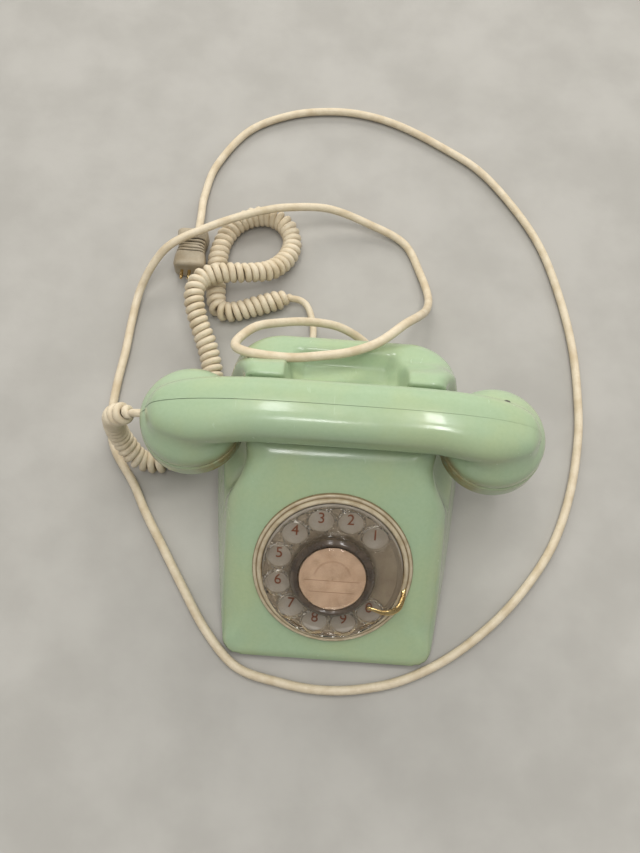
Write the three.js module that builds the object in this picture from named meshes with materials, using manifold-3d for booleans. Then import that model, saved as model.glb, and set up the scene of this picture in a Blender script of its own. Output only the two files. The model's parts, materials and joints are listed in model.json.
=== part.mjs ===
// Rotary desk telephone, in millimetres. +Z up, -Y is the front, +X is the right-hand side.
// The origin is the centre of the base plate's underside. Heights in this file are measured
// from the floor under the feet, and the whole telephone is lowered by plateLow at the end.
import * as THREE from 'three';
import { mergeVertices } from 'three/addons/utils/BufferGeometryUtils.js';
import Module from 'manifold-3d';

const wasm = await Module();
wasm.setup();

// ---- driving dimensions ----
const frontY = -92;
const rearY = 86;
const housingLow = 4;
const frontHalfWidth = 59;
const widening = 19;
const sideFlare = 0.2;
const wall = 3;
const faceSlope = THREE.MathUtils.degToRad(37.9);
const dialCentre = new THREE.Vector3(0, -45.7, 42.2);
const saddleZ = 82;
const handleY = 24;
const handleZ = 98.2;
const handleHalfWidth = 17.2;
const handleHalfHeight = 13;
const podX = 84;
const podY = 25.8;
const podRadius = 29;
const capLow = 58;
const capHigh = 71.7;
const wheelRadius = 38.6;
const fingerHoleRadius = 6.85;
const fingerHoleCircle = 31.2;
const gap = 0.3;
const lineCordRadius = 2.75;
const coilRadius = 6.5;

// ---- geometry helpers ----
const smooth = (low, high, value) => THREE.MathUtils.smoothstep(value, low, high);
const turn = THREE.MathUtils.degToRad;

function signedVolume(geometry) {
  const place = geometry.attributes.position;
  const index = geometry.index.array;
  const a = new THREE.Vector3();
  const b = new THREE.Vector3();
  const c = new THREE.Vector3();
  let sum = 0;
  for (let i = 0; i < index.length; i += 3) {
    a.fromBufferAttribute(place, index[i]);
    b.fromBufferAttribute(place, index[i + 1]);
    c.fromBufferAttribute(place, index[i + 2]);
    sum += a.dot(b.cross(c));
  }
  return sum / 6;
}

// Merges shared vertices, drops triangles of no area and turns the faces outward.
function closed(geometry) {
  const bare = geometry.clone();
  bare.deleteAttribute('normal');
  bare.deleteAttribute('uv');
  const merged = mergeVertices(bare, 1e-4);
  const index = merged.index.array;
  const kept = [];
  for (let i = 0; i < index.length; i += 3) {
    const [a, b, c] = [index[i], index[i + 1], index[i + 2]];
    if (a !== b && b !== c && a !== c) kept.push(a, b, c);
  }
  merged.setIndex(kept);
  if (signedVolume(merged) < 0) {
    for (let i = 0; i < kept.length; i += 3) [kept[i], kept[i + 1]] = [kept[i + 1], kept[i]];
    merged.setIndex(kept);
  }
  return merged;
}

function toSolid(geometry) {
  const whole = closed(geometry);
  return new wasm.Manifold(new wasm.Mesh({
    numProp: 3,
    vertProperties: new Float32Array(whole.attributes.position.array),
    triVerts: new Uint32Array(whole.index.array),
  }));
}

function fromSolid(solid) {
  const mesh = solid.getMesh();
  const geometry = new THREE.BufferGeometry();
  geometry.setAttribute('position', new THREE.BufferAttribute(new Float32Array(mesh.vertProperties), 3));
  geometry.setIndex(new THREE.BufferAttribute(new Uint32Array(mesh.triVerts), 1));
  return geometry;
}

function join(...geometries) {
  return fromSolid(geometries.map(toSolid).reduce((whole, next) => whole.add(next)));
}

function cut(geometry, ...tools) {
  return fromSolid(tools.map(toSolid).reduce((whole, tool) => whole.subtract(tool), toSolid(geometry)));
}

// Upright cylinder from z0 to z1.
function post(radius, z0, z1, x = 0, y = 0, sides = 20) {
  return new THREE.CylinderGeometry(radius, radius, z1 - z0, sides)
    .rotateX(Math.PI / 2).translate(x, y, (z0 + z1) / 2);
}

// Cylinder lying along X or Y.
function rodX(radius, x0, x1, y, z, sides = 12) {
  return new THREE.CylinderGeometry(radius, radius, x1 - x0, sides)
    .rotateZ(Math.PI / 2).translate((x0 + x1) / 2, y, z);
}

function rodY(radius, y0, y1, x, z, sides = 12) {
  return new THREE.CylinderGeometry(radius, radius, y1 - y0, sides).translate(x, (y0 + y1) / 2, z);
}

function block([x0, x1], [y0, y1], [z0, z1]) {
  return new THREE.BoxGeometry(x1 - x0, y1 - y0, z1 - z0)
    .translate((x0 + x1) / 2, (y0 + y1) / 2, (z0 + z1) / 2);
}

// Body of revolution about Z from [radius, z] points.
function turned(points, sides = 32) {
  const profile = points.map(([r, z]) => new THREE.Vector2(r, z));
  return new THREE.LatheGeometry(profile, sides).rotateX(Math.PI / 2);
}

function ringOf(inner, outer, z0, z1, sides = 32) {
  return turned([[inner, z0], [outer, z0], [outer, z1], [inner, z1], [inner, z0]], sides);
}

function plate(shape, z0, z1, curveSegments = 8) {
  const options = { depth: z1 - z0, bevelEnabled: false, curveSegments };
  return new THREE.ExtrudeGeometry(shape, options).translate(0, 0, z0);
}

// A closed skin through rings of points, one ring per station, made by moving a cylinder's vertices.
function loft(stations, around, ringAt) {
  const rings = stations.map(ringAt);
  const geometry = new THREE.CylinderGeometry(1, 1, 1, around, stations.length - 1);
  const place = geometry.attributes.position;
  for (let i = 0; i < place.count; i += 1) {
    const [x, y, z] = [place.getX(i), place.getY(i), place.getZ(i)];
    const ring = rings[Math.round((0.5 - y) * (stations.length - 1))];
    if (Math.hypot(x, z) < 0.5) {
      const middle = ring.reduce((sum, p) => sum.add(p), new THREE.Vector3()).divideScalar(around);
      place.setXYZ(i, middle.x, middle.y, middle.z);
    } else {
      const step = Math.round((Math.atan2(x, z) / (2 * Math.PI)) * around);
      const p = ring[(step + around) % around];
      place.setXYZ(i, p.x, p.y, p.z);
    }
  }
  return geometry;
}

function tube(points, radius, steps, sides = 6) {
  const path = new THREE.CatmullRomCurve3(points.map((p) => new THREE.Vector3(...p)), false, 'centripetal');
  const circle = new THREE.Shape();
  circle.absarc(0, 0, radius, 0, 2 * Math.PI, false);
  return new THREE.ExtrudeGeometry(circle, {
    steps, extrudePath: path, bevelEnabled: false, curveSegments: sides / 2,
  });
}

// ---- materials ----
const shade = (colour, roughness = 0.4, metalness = 0) => new THREE.MeshStandardMaterial({
  color: colour, roughness, metalness,
});
const palette = {
  shell: shade(0xa9bb92, 0.25),
  cream: shade(0xd8c8a6, 0.4),
  cord: shade(0xd2c3a0, 0.5),
  taupe: shade(0x9c8c82, 0.5),
  clear: shade(0xc9b8ac, 0.1),
  dark: shade(0x4c423c, 0.35),
  paper: shade(0xd9b79c, 0.8),
  brass: shade(0xb9924a, 0.3, 1),
  steel: shade(0xa6a8aa, 0.35, 1),
  black: shade(0x1d1d1e, 0.5),
  rubber: shade(0x3c3a38, 0.9),
  copper: shade(0x9c4f2c, 0.4, 0.6),
  board: shade(0x9a7a48, 0.6),
};

const phone = new THREE.Group();
function add(parent, name, geometry, material) {
  const mesh = new THREE.Mesh(closed(geometry), material);
  mesh.name = name;
  parent.add(mesh);
  return mesh;
}

// ---- housing ----
const cornerFront = 10;
// The rear corners round off more towards the top.
const cornerRear = (z) => 26 + 4 * smooth(10, 75, z);
const rimRound = 10;
const hornInner = 32;
const hornRise = 16;
const waistDepth = 11;

function baseHalfWidth(y) {
  const along = (y - frontY) / (rearY - frontY);
  return frontHalfWidth + widening * (1 - (1 - Math.min(Math.max(along, 0), 1)) ** 1.6);
}

// The sides draw in under the handset so that its two caps hang clear of them.
function waist(y, z) {
  const along = smooth(-14, 10, y) * (1 - smooth(46, 60, y));
  return along * (waistDepth * smooth(36, 56, z) - sideFlare * Math.max(z - 56, 0));
}

function cornerInset(y, z) {
  const radius = cornerRear(z);
  const rear = Math.max(y - (rearY - radius), 0);
  const front = Math.max(frontY + cornerFront - y, 0);
  return radius - Math.sqrt(Math.max(radius ** 2 - rear ** 2, 0))
    + cornerFront - Math.sqrt(Math.max(cornerFront ** 2 - front ** 2, 0));
}

function halfWidth(y, z) {
  return baseHalfWidth(y) - sideFlare * (z - 6) - waist(y, z) - cornerInset(y, z);
}

const faceZ = (y) => dialCentre.z + (y - dialCentre.y) * Math.tan(faceSlope);

// Height of the housing: sloping face, saddle, two horns and the hollow behind them.
function topZ(x, y) {
  const saddle = saddleZ - 0.22 * Math.max(y - 43, 0);
  const dish = 8 * smooth(44, 58, y) * (1 - smooth(64, 76, y)) * (1 - smooth(22, 33, Math.abs(x)));
  const horn = hornRise * smooth(42.5, 46, y) * (1 - smooth(50, 71, y))
    * smooth(hornInner - 3, hornInner + 3, Math.abs(x));
  const rim = Math.max(y - (rearY - rimRound), 0);
  const rimDrop = rimRound - Math.sqrt(Math.max(rimRound ** 2 - rim ** 2, 0));
  return Math.min(faceZ(y), saddle) - dish + horn - rimDrop;
}

// One cross-section of the housing, pulled in by a thickness.
function housingRing(y, inset, low, sidePoints, topPoints) {
  const steep = y < 6 ? inset / Math.cos(faceSlope) : inset;
  const crown = topZ(halfWidth(y, saddleZ) - 8, y) - steep;
  const radius = Math.min(14 - 6 * smooth(0, 10, y) - inset, 0.7 * (crown - low));
  const shoulder = crown - radius;
  const half = [];
  for (let i = 0; i <= sidePoints; i += 1) {
    const z = low + ((shoulder - low) * i) / sidePoints;
    half.push([halfWidth(y, z) - inset, z]);
  }
  const centreX = half[sidePoints][0] - radius;
  for (const angle of [30, 60]) {
    half.push([centreX + radius * Math.cos(turn(angle)), shoulder + radius * Math.sin(turn(angle))]);
  }
  for (let i = 0; i <= topPoints; i += 1) {
    const x = centreX * (1 - i / (topPoints + 0.5));
    half.push([x, topZ(x, y) - steep]);
  }
  const right = half.map(([x, z]) => new THREE.Vector3(x, y, z));
  const left = half.map(([x, z]) => new THREE.Vector3(-x, y, z)).reverse();
  return [...right, ...left];
}

function housingSkin(inset, low, stations, sidePoints, topPoints) {
  const around = 2 * (sidePoints + topPoints + 4);
  return loft(stations, around, (y) => housingRing(y, inset, low, sidePoints, topPoints));
}

function dialFrame(geometry) {
  return geometry.rotateX(faceSlope).translate(dialCentre.x, dialCentre.y, dialCentre.z);
}

const plungerX = 38;
const plungerRadius = 3.6;
const cordHoleX = 24;
const cordHoleZ = 13;
const bossX = 66;
const bossY = 66;

function housing() {
  const outer = housingSkin(0, housingLow, [-92, -91, -87, -80, -60, -35, -12, -4, 2, 6, 9, 22, 42.5,
    44, 46, 50, 55, 60, 65, 70, 75, 79, 82, 84.5, 85.8], 5, 6);
  const inner = housingSkin(wall, -2, [-87, -80, -50, -12, 2, 9, 25, 43, 48, 54, 60, 66, 72, 78, 82.5],
    4, 5);
  const bosses = [-1, 1].map((side) => post(4.5, 7, 30, side * bossX, bossY, 14));
  const holes = [dialFrame(post(37.5, -12, 8, 0, 0, 48))];
  for (const side of [-1, 1]) {
    holes.push(post(plungerRadius + 0.6, 70, 95, side * plungerX, handleY, 16));
    holes.push(rodY(3.6, 80, 100, side * cordHoleX, cordHoleZ, 14));
    holes.push(post(1.6, 0, 19, side * bossX, bossY, 10));
  }
  const shell = cut(outer, inner);
  return cut(join(shell, ...bosses), ...holes);
}
add(phone, 'housing', housing(), palette.shell);

// ---- base ----
const plateLow = 4.5;
const plateSkin = 5;
const plateHigh = 6.5;

function basePlate() {
  const outline = [];
  for (const y of [-80, -76, -70, -50, -20, 10, 40, 60, 68, 74, 78, 80.5]) {
    const margin = wall + 0.8 + 1.6 * (1 - smooth(-80, -40, y));
    outline.push([halfWidth(y, plateHigh) - margin, y]);
  }
  const mirrored = outline.map(([x, y]) => [-x, y]).reverse();
  const shape = new THREE.Shape([...outline, ...mirrored].map(([x, y]) => new THREE.Vector2(x, y)));
  const holes = [-1, 1].map((side) => post(2, 0, 10, side * bossX, bossY, 12));
  const pad = block([-30, 30], [-30, 30], [plateLow, plateHigh]);
  return cut(join(plate(shape, plateSkin, plateHigh), pad), ...holes);
}
add(phone, 'base_plate', basePlate(), palette.steel);

for (const [where, x, y] of [['front_left', -44, -72], ['front_right', 44, -72],
  ['rear_left', -50, 64], ['rear_right', 50, 64]]) {
  const foot = turned([[0, 0], [7.4, 0], [8.2, 0.8], [8.2, plateSkin - gap], [0, plateSkin - gap]], 20);
  add(phone, `foot_${where}`, foot.translate(x, y, 0), palette.rubber);
}

function housingScrew(x) {
  const screw = turned([[0, 2.4], [3.2, 2.4], [3.2, plateSkin - gap], [1.3, plateSkin - gap],
    [1.3, 17.5], [0, 18]], 14);
  return cut(screw.translate(x, bossY, 0), block([x - 2.4, x + 2.4], [bossY - 0.5, bossY + 0.5], [2, 3.2]));
}
add(phone, 'housing_screw_left', housingScrew(-bossX), palette.steel);
add(phone, 'housing_screw_right', housingScrew(bossX), palette.steel);

// ---- dial, in its own frame: Z along the face normal, Y up the face ----
const dial = new THREE.Group();
dial.position.copy(dialCentre);
dial.rotation.x = faceSlope;
phone.add(dial);

// A direction in the dial's plane, clockwise from twelve o'clock.
const clock = (degrees) => new THREE.Vector3(Math.sin(turn(degrees)), Math.cos(turn(degrees)), 0);

const bezelOuter = 44.8;
const bezelInner = 39.4;
add(dial, 'dial_bezel', turned([[bezelInner, 0.5], [bezelOuter, 0.5], [bezelOuter, 1.8], [44, 3], [42.9, 3.3],
  [42.3, 2.7], [41.7, 3.4], [40.7, 4], [39.9, 3.8], [bezelInner, 3], [bezelInner, 0.5]], 36), palette.cream);
add(dial, 'number_plate', ringOf(4, 39, 0.9, 2.1, 40), palette.taupe);

const shaftRadius = 2.5;
const plateTop = -4.4;
const plateUnder = -6;
const backTop = -24;
const backUnder = -25.5;
const mainTeeth = 60;
const pinionTeeth = 15;
const gearModule = 0.7;
const mainPitch = (mainTeeth * gearModule) / 2;
const pinionPitch = (pinionTeeth * gearModule) / 2;
const pulseBearing = clock(50);
const pulseCentre = pulseBearing.clone().multiplyScalar(mainPitch + pinionPitch + 0.15);
const postCircle = 30;
const postBearings = { top: 0, right: 120, left: 240 };
const gearLow = -8.4;
const gearHigh = -6.8;

function polar(radius, angle) {
  return new THREE.Vector2(radius * Math.cos(angle), radius * Math.sin(angle));
}

// Straight-flanked teeth; the first tooth points at the given angle.
function gearShape(teeth, root, tip, rootWidth, tipWidth, firstAngle) {
  const points = [];
  for (let k = 0; k < teeth; k += 1) {
    const centre = firstAngle + (2 * Math.PI * k) / teeth;
    points.push(polar(root, centre - rootWidth / 2 / root));
    points.push(polar(tip, centre - tipWidth / 2 / tip));
    points.push(polar(tip, centre + tipWidth / 2 / tip));
    points.push(polar(root, centre + rootWidth / 2 / root));
  }
  return new THREE.Shape(points);
}

const meshAngle = Math.atan2(pulseCentre.y, pulseCentre.x);

function dialPlate() {
  const holes = [post(shaftRadius + 0.3, -10, 0, 0, 0, 20)];
  holes.push(post(1.45, -10, 0, pulseCentre.x, pulseCentre.y, 14));
  return cut(post(36.6, plateUnder, plateTop, 0, 0, 40), ...holes);
}
add(dial, 'dial_plate', dialPlate(), palette.steel);

for (const [name, bearing] of Object.entries(postBearings)) {
  const at = clock(bearing).multiplyScalar(postCircle);
  add(dial, `dial_post_${name}`, post(1.8, backTop + gap, plateUnder - gap, at.x, at.y, 12), palette.brass);
}

add(dial, 'main_shaft', post(shaftRadius, backUnder + 0.3, 11.6, 0, 0, 20), palette.steel);

function mainGear() {
  const shape = gearShape(mainTeeth, mainPitch - 1.1, mainPitch + 0.6, 1.1, 0.45, meshAngle);
  return cut(plate(shape, gearLow, gearHigh), post(shaftRadius + 0.3, -10, 0, 0, 0, 20));
}
add(dial, 'main_gear', mainGear(), palette.brass);

function mainspring() {
  const turns = 2.5;
  const steps = 40;
  const edge = (offset) => Array.from({ length: steps + 1 }, (_, i) => {
    const angle = (2 * Math.PI * turns * i) / steps;
    return polar(4.2 + (7.2 * i) / steps + offset, angle);
  });
  return plate(new THREE.Shape([...edge(0), ...edge(0.6).reverse()]), -19, -12);
}
add(dial, 'mainspring', mainspring(), palette.steel);

// Pulse shaft with its pinion, one three-lobed cam and the governor's worm wheel.
const wormTeeth = 12;
const wormWheelPitch = 4.8;
const wormRadius = 2.5;
const wormPitch = (2 * Math.PI * wormWheelPitch) / wormTeeth;
const wormZ = -15.2;
const wormCentre = pulseCentre.clone().addScaledVector(pulseBearing, -(wormWheelPitch + wormRadius));
wormCentre.z = wormZ;
const wormAxis = new THREE.Vector3(0, 0, 1).cross(pulseBearing);

function pulseShaft() {
  const first = meshAngle + Math.PI + Math.PI / pinionTeeth;
  const pinion = gearShape(pinionTeeth, pinionPitch - 1.1, pinionPitch + 0.6, 1.1, 0.45, first);
  return join(post(1.2, backUnder + 0.3, plateTop - 0.2, 0, 0, 12), plate(pinion, gearLow, gearHigh))
    .translate(pulseCentre.x, pulseCentre.y, 0);
}
add(dial, 'pulse_shaft', pulseShaft(), palette.steel);

function wormWheel() {
  const inner = wormWheelPitch - 0.9;
  const shape = gearShape(wormTeeth, inner, wormWheelPitch + 0.5, 0.95, 0.6, meshAngle + Math.PI);
  return cut(plate(shape, wormZ - 1, wormZ + 1), post(1.5, -18, -12, 0, 0, 12))
    .translate(pulseCentre.x, pulseCentre.y, 0);
}
add(dial, 'worm_wheel', wormWheel(), palette.brass);

function pulseCam() {
  const steps = 36;
  const outline = Array.from({ length: steps }, (_, i) => {
    const angle = (2 * Math.PI * i) / steps;
    return polar(3.2 + 0.8 * Math.cos(3 * angle), angle);
  });
  return cut(plate(new THREE.Shape(outline), -21.5, -19.5), post(1.5, -23, -18, 0, 0, 12))
    .translate(pulseCentre.x, pulseCentre.y, 0);
}
add(dial, 'pulse_cam', pulseCam(), palette.black);

// The governor's own frame: Z along the worm, X towards the worm wheel.
const governor = new THREE.Group();
governor.position.copy(wormCentre);
const governorTurn = new THREE.Matrix4().makeBasis(
  pulseBearing,
  wormAxis.clone().cross(pulseBearing),
  wormAxis,
);
governor.quaternion.setFromRotationMatrix(governorTurn);
dial.add(governor);

function wormShaft() {
  const turns = 3;
  const perTurn = 12;
  const steps = Array.from({ length: turns * perTurn + 1 }, (_, i) => i / perTurn - turns / 2);
  const thread = loft(steps, 4, (t) => {
    const angle = 2 * Math.PI * t;
    const along = wormPitch * (t + 0.5);
    return [[1.2, -0.35], [3, -0.35], [3, 0.35], [1.2, 0.35]].map(([r, z]) => new THREE.Vector3(
      r * Math.cos(angle),
      r * Math.sin(angle),
      along + z,
    ));
  });
  return join(post(0.9, -9, 16.8, 0, 0, 12), post(1.6, -5, 6, 0, 0, 12), thread);
}
add(governor, 'governor_shaft', wormShaft(), palette.steel);

function governorWeights() {
  const shape = new THREE.Shape();
  const half = turn(24);
  shape.absarc(0, 0, 4.6, -half, half, false);
  shape.absarc(0, 0, 4.6, Math.PI - half, Math.PI + half, false);
  return cut(plate(shape, 8.2, 12.6, 4), post(1.2, 7, 14, 0, 0, 12));
}
add(governor, 'governor_weights', governorWeights(), palette.brass);
add(governor, 'governor_cup', turned([[1.5, 14.3], [5.4, 14.3], [5.4, 7.4], [6.2, 7.4], [6.2, 15], [1.5, 15],
  [1.5, 14.3]], 20), palette.brass);

function backPlate() {
  const shape = new THREE.Shape();
  const low = Math.asin(20.5 / 33);
  shape.absarc(0, 0, 33, -low, Math.PI + low, false);
  const { x, y, z } = wormCentre;
  const place = (geometry) => geometry.applyMatrix4(governorTurn).translate(x, y, z);
  const depth = backTop - wormZ - 0.5;
  const lug = (z0, z1) => place(block([-2.4, 2.4], [-2.6, -depth], [z0, z1]));
  const lugs = [lug(-8, -6.8), lug(15.6, 16.8)];
  const holes = [post(shaftRadius + 0.3, -30, -20, 0, 0, 20), place(post(1.15, -12, 20, 0, 0, 12))];
  holes.push(post(1.45, -30, -22, pulseCentre.x, pulseCentre.y, 14));
  return cut(join(plate(shape, backUnder, backTop, 24), ...lugs), ...holes);
}
add(dial, 'dial_back_plate', backPlate(), palette.steel);

function pulseContacts() {
  const along = (geometry) => geometry.applyMatrix4(new THREE.Matrix4().makeBasis(
    pulseBearing,
    wormAxis,
    new THREE.Vector3(0, 0, 1),
  ));
  const leaf = (x) => block([x, x + 0.5], [-12, 3], [-21.8, -19.2]);
  return along(join(block([30.4, 34.6], [-15, -9], [-23.4, -18.6]), leaf(31.2), leaf(33)));
}
add(dial, 'pulse_contacts', pulseContacts(), palette.copper);

// ---- finger wheel and its centre ----
const wheelLow = 5.5;
const wheelHigh = 8.2;
const firstHole = 45;
const hubHigh = 11;

function fingerWheel() {
  const disc = new THREE.Shape();
  disc.absarc(0, 0, wheelRadius, 0, 2 * Math.PI, false);
  for (let digit = 0; digit < 10; digit += 1) {
    const at = clock(firstHole - 30 * digit).multiplyScalar(fingerHoleCircle);
    const hole = new THREE.Path();
    hole.absarc(at.x, at.y, fingerHoleRadius, 0, 2 * Math.PI, true);
    disc.holes.push(hole);
  }
  const bore = new THREE.Path();
  bore.absarc(0, 0, shaftRadius + 0.3, 0, 2 * Math.PI, true);
  disc.holes.push(bore);
  const hub = turned([[shaftRadius + 0.3, wheelHigh - 0.1], [23.9, wheelHigh - 0.1], [23.4, hubHigh],
    [shaftRadius + 0.3, hubHigh], [shaftRadius + 0.3, wheelHigh - 0.1]], 36);
  return join(plate(disc, wheelLow, wheelHigh, 11), hub);
}
add(dial, 'finger_wheel', fingerWheel(), palette.clear);
const ringLow = hubHigh + gap;
add(dial, 'hub_ring', turned([[18.7, ringLow], [23.3, ringLow], [23.3, ringLow + 1.1], [21.6, ringLow + 3.5],
  [19.4, ringLow + 4.1], [18.7, ringLow + 3.7], [18.7, ringLow]], 36), palette.dark);
const cardLow = ringLow + 0.7;
add(dial, 'label_card', post(18.3, cardLow, cardLow + 0.4, 0, 0, 36), palette.paper);
add(dial, 'label_lens', turned([[0, cardLow + 0.7], [18.3, cardLow + 0.7], [18.3, cardLow + 2.2],
  [12, cardLow + 2.9], [0, cardLow + 3.2]], 36), palette.clear);

// The stop rises at the bezel, turns in over the wheel's rim and ends short of the hub.
function fingerStop() {
  const bends = [[41.4, -7.6], [41.6, -11], [39.8, -16.2], [35.6, -19.6], [30.6, -20.4], [25.8, -19.4],
    [22, -18.4]];
  const curve = new THREE.CatmullRomCurve3(bends.map(([x, y]) => new THREE.Vector3(x, y, 0)));
  const bar = curve.getPoints(16);
  const offset = (half) => bar.map((p, i) => {
    const tangent = curve.getTangent(i / 16);
    return new THREE.Vector2(p.x - tangent.y * half, p.y + tangent.x * half);
  });
  const arm = plate(new THREE.Shape([...offset(1.9), ...offset(-1.9).reverse()]), 8.8, 9.8);
  const foot = block([39.8, 43.2], [-10.5, -7.6], [4.5, 9]);
  return join(arm, foot);
}
add(dial, 'finger_stop', fingerStop(), palette.brass);

// ---- hook switch ----
const leverPivotY = 47;
const leverPivotZ = 56;
const leverThick = 1.2;
const plungerLow = leverPivotZ + leverThick + 0.4;
const handleUnder = handleZ - handleHalfHeight;

for (const [name, side] of [['left', -1], ['right', 1]]) {
  const shape = turned([[0, plungerLow], [plungerRadius, plungerLow], [plungerRadius, handleUnder - 2.4],
    [plungerRadius - 1.2, handleUnder - 1.2], [0, handleUnder - 1.2]], 16);
  add(phone, `plunger_${name}`, shape.translate(side * plungerX, handleY, 0), palette.cream);
}

function hookLever() {
  const flat = [leverPivotZ - leverThick, leverPivotZ + leverThick];
  const parts = [block([-43, 43], [21, 27], flat)];
  for (const side of [-1, 1]) {
    const reach = [Math.min(side * 40, side * 43), Math.max(side * 40, side * 43)];
    parts.push(block(reach, [24, leverPivotY], flat));
    parts.push(rodX(3.2, reach[0], reach[1], leverPivotY, leverPivotZ, 16));
  }
  return cut(join(...parts), rodX(1.5, -50, 50, leverPivotY, leverPivotZ));
}
add(phone, 'hook_lever', hookLever(), palette.steel);
add(phone, 'hook_pin', rodX(1.2, -49.3, 49.3, leverPivotY, leverPivotZ), palette.steel);

function hookFrame() {
  const upright = (side) => block([Math.min(side * 45, side * 49), Math.max(side * 45, side * 49)],
    [44, 50], [plateHigh + gap, 60]);
  return cut(join(upright(-1), upright(1), block([-47, 47], [44, 50], [46, 51])),
    rodX(1.5, -55, 55, leverPivotY, leverPivotZ));
}
add(phone, 'hook_frame', hookFrame(), palette.steel);

function hookSpring() {
  const perTurn = 10;
  const turns = 4;
  const steps = Array.from({ length: turns * perTurn + 1 }, (_, i) => i / perTurn);
  return loft(steps, 4, (t) => [[2.1, -0.4], [2.9, -0.4], [2.9, 0.4], [2.1, 0.4]].map(([r, side]) => (
    new THREE.Vector3(
      20 + 2.2 * t + side,
      leverPivotY + r * Math.cos(2 * Math.PI * t),
      leverPivotZ + r * Math.sin(2 * Math.PI * t),
    ))));
}
add(phone, 'hook_spring', hookSpring(), palette.steel);

function hookContacts() {
  const leaf = (y) => block([-5, 5], [y, y + 0.5], [50, 60]);
  return join(block([-7, 7], [50 + gap, 58], [46, 51]), leaf(51.2), leaf(53.8), leaf(56.4));
}
add(phone, 'hook_contacts', hookContacts(), palette.copper);

// ---- ringer ----
const gongX = 26.2;
const gongY = 60;
const gongRadius = 21;
const clapperY = 31.5;

for (const [name, side] of [['left', -1], ['right', 1]]) {
  const gong = turned([[1.9, 40.2], [9.6, 39.6], [17, 36.2], [gongRadius - 1.2, 30], [gongRadius, 30],
    [18, 37.5], [10, 41], [1.9, 41.6], [1.9, 40.2]], 22);
  add(phone, `gong_${name}`, gong.translate(side * gongX, gongY, 0), palette.brass);
  const stand = cut(post(2.5, plateHigh + gap, 39.8, 0, 0, 14), post(1.8, 33, 45, 0, 0, 12));
  add(phone, `gong_post_${name}`, stand.translate(side * gongX, gongY, 0), palette.steel);
  const screw = turned([[0, 34], [1.4, 34], [1.4, 41.9], [4, 41.9], [3.4, 43.8], [0, 44.2]], 14);
  add(phone, `gong_screw_${name}`, screw.translate(side * gongX, gongY, 0), palette.steel);
}

const coilX = 11;
const coilZ = 19;

function ringerYoke() {
  const cores = [-1, 1].map((side) => rodY(3, -1, 26, side * coilX, coilZ, 14));
  return join(block([-20, 20], [-3.2, -0.6], [plateHigh + gap, 28]), ...cores);
}
add(phone, 'ringer_yoke', ringerYoke(), palette.steel);

for (const [name, side] of [['left', -1], ['right', 1]]) {
  const coil = turned([[3.4, 0], [8.6, 0], [8.6, 1.2], [7.6, 1.2], [7.6, 22.8], [8.6, 22.8], [8.6, 24],
    [3.4, 24], [3.4, 0]], 20);
  coil.rotateX(-Math.PI / 2).translate(side * coilX, 0, coilZ);
  add(phone, `ringer_coil_${name}`, coil, palette.copper);
}

function clapper() {
  const ball = new THREE.SphereGeometry(2.4, 14, 10).translate(0, gongY, 32.5);
  const arm = join(block([-0.8, 0.8], [clapperY + 2, gongY], [31.7, 33.3]), ball);
  const rocker = join(block([-18, 18], [28.4, 30.4], [13, 25]), post(2.8, 11, 34.5, 0, clapperY, 16), arm);
  return cut(rocker, post(1.4, 0, 50, 0, clapperY, 14));
}
add(phone, 'clapper', clapper(), palette.steel);
add(phone, 'clapper_pin', post(1.1, plateHigh + gap, 38, 0, clapperY, 12), palette.steel);

// ---- speech network ----
function circuitBoard() {
  const corners = [[-56, 4], [-28, 4], [-56, 30], [-28, 30]];
  const legs = corners.map(([x, y]) => post(2, plateHigh + gap, 12.5, x, y, 10));
  return join(block([-60, -24], [0, 34], [12, 13.6]), ...legs);
}
add(phone, 'circuit_board', circuitBoard(), palette.board);

function inductionCoil() {
  const core = block([-52, -36], [8, 24], [13.9, 16.4]);
  return join(core, block([-50, -38], [10, 22], [16, 26]), block([-52, -36], [8, 24], [25.6, 28]));
}
add(phone, 'induction_coil', inductionCoil(), palette.copper);
add(phone, 'capacitor', rodX(7.6, 28, 56, 14, plateHigh + gap + 7.6, 20), palette.steel);

function terminalBlock() {
  const screws = [-9, -3, 3, 9].map((x) => post(1.8, 15, 17.4, x, 73, 10));
  return join(block([-13, 13], [68, 78], [plateHigh + gap, 16]), ...screws);
}
add(phone, 'terminal_block', terminalBlock(), palette.black);

// ---- handset ----
const handleReach = 110;

function handleRing(x) {
  const along = Math.abs(x) / handleReach;
  const taper = Math.sqrt(Math.max(1 - along ** 6, 0.04));
  const sink = 9 * along ** 3;
  return Array.from({ length: 20 }, (_, i) => {
    const angle = (2 * Math.PI * i) / 20;
    const [c, s] = [Math.cos(angle), Math.sin(angle)];
    const power = 2 / 2.7;
    return new THREE.Vector3(
      x,
      handleY + handleHalfWidth * taper * Math.sign(c) * Math.abs(c) ** power,
      handleZ - sink + handleHalfHeight * taper * Math.sign(s) * Math.abs(s) ** power,
    );
  });
}

// Each pod swells out below the handle and stays lower than it.
function podDome(side) {
  const radius = podRadius - 0.5;
  const shoulder = capHigh + 3.3;
  const profile = [[0, capHigh + gap], [radius, capHigh + gap], [radius, shoulder]];
  for (const angle of [20, 40, 60, 75]) {
    profile.push([radius * Math.cos(turn(angle)), shoulder + 20 * Math.sin(turn(angle))]);
  }
  profile.push([0, shoulder + 20]);
  return turned(profile, 28).translate(side * podX, podY, 0);
}

function handsetShell() {
  const stations = [-1, -0.97, -0.9, -0.8, -0.65, -0.4, 0, 0.4, 0.65, 0.8, 0.9, 0.97, 1];
  const handle = loft(stations.map((s) => s * handleReach), 20, handleRing);
  const pockets = [-1, 1].map((side) => post(24.5, 60, 86, side * podX, podY, 28));
  return cut(join(handle, podDome(-1), podDome(1)), ...pockets, rodX(3.2, -podX - 40, -podX, podY, 76));
}
add(phone, 'handset_shell', handsetShell(), palette.shell);

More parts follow.
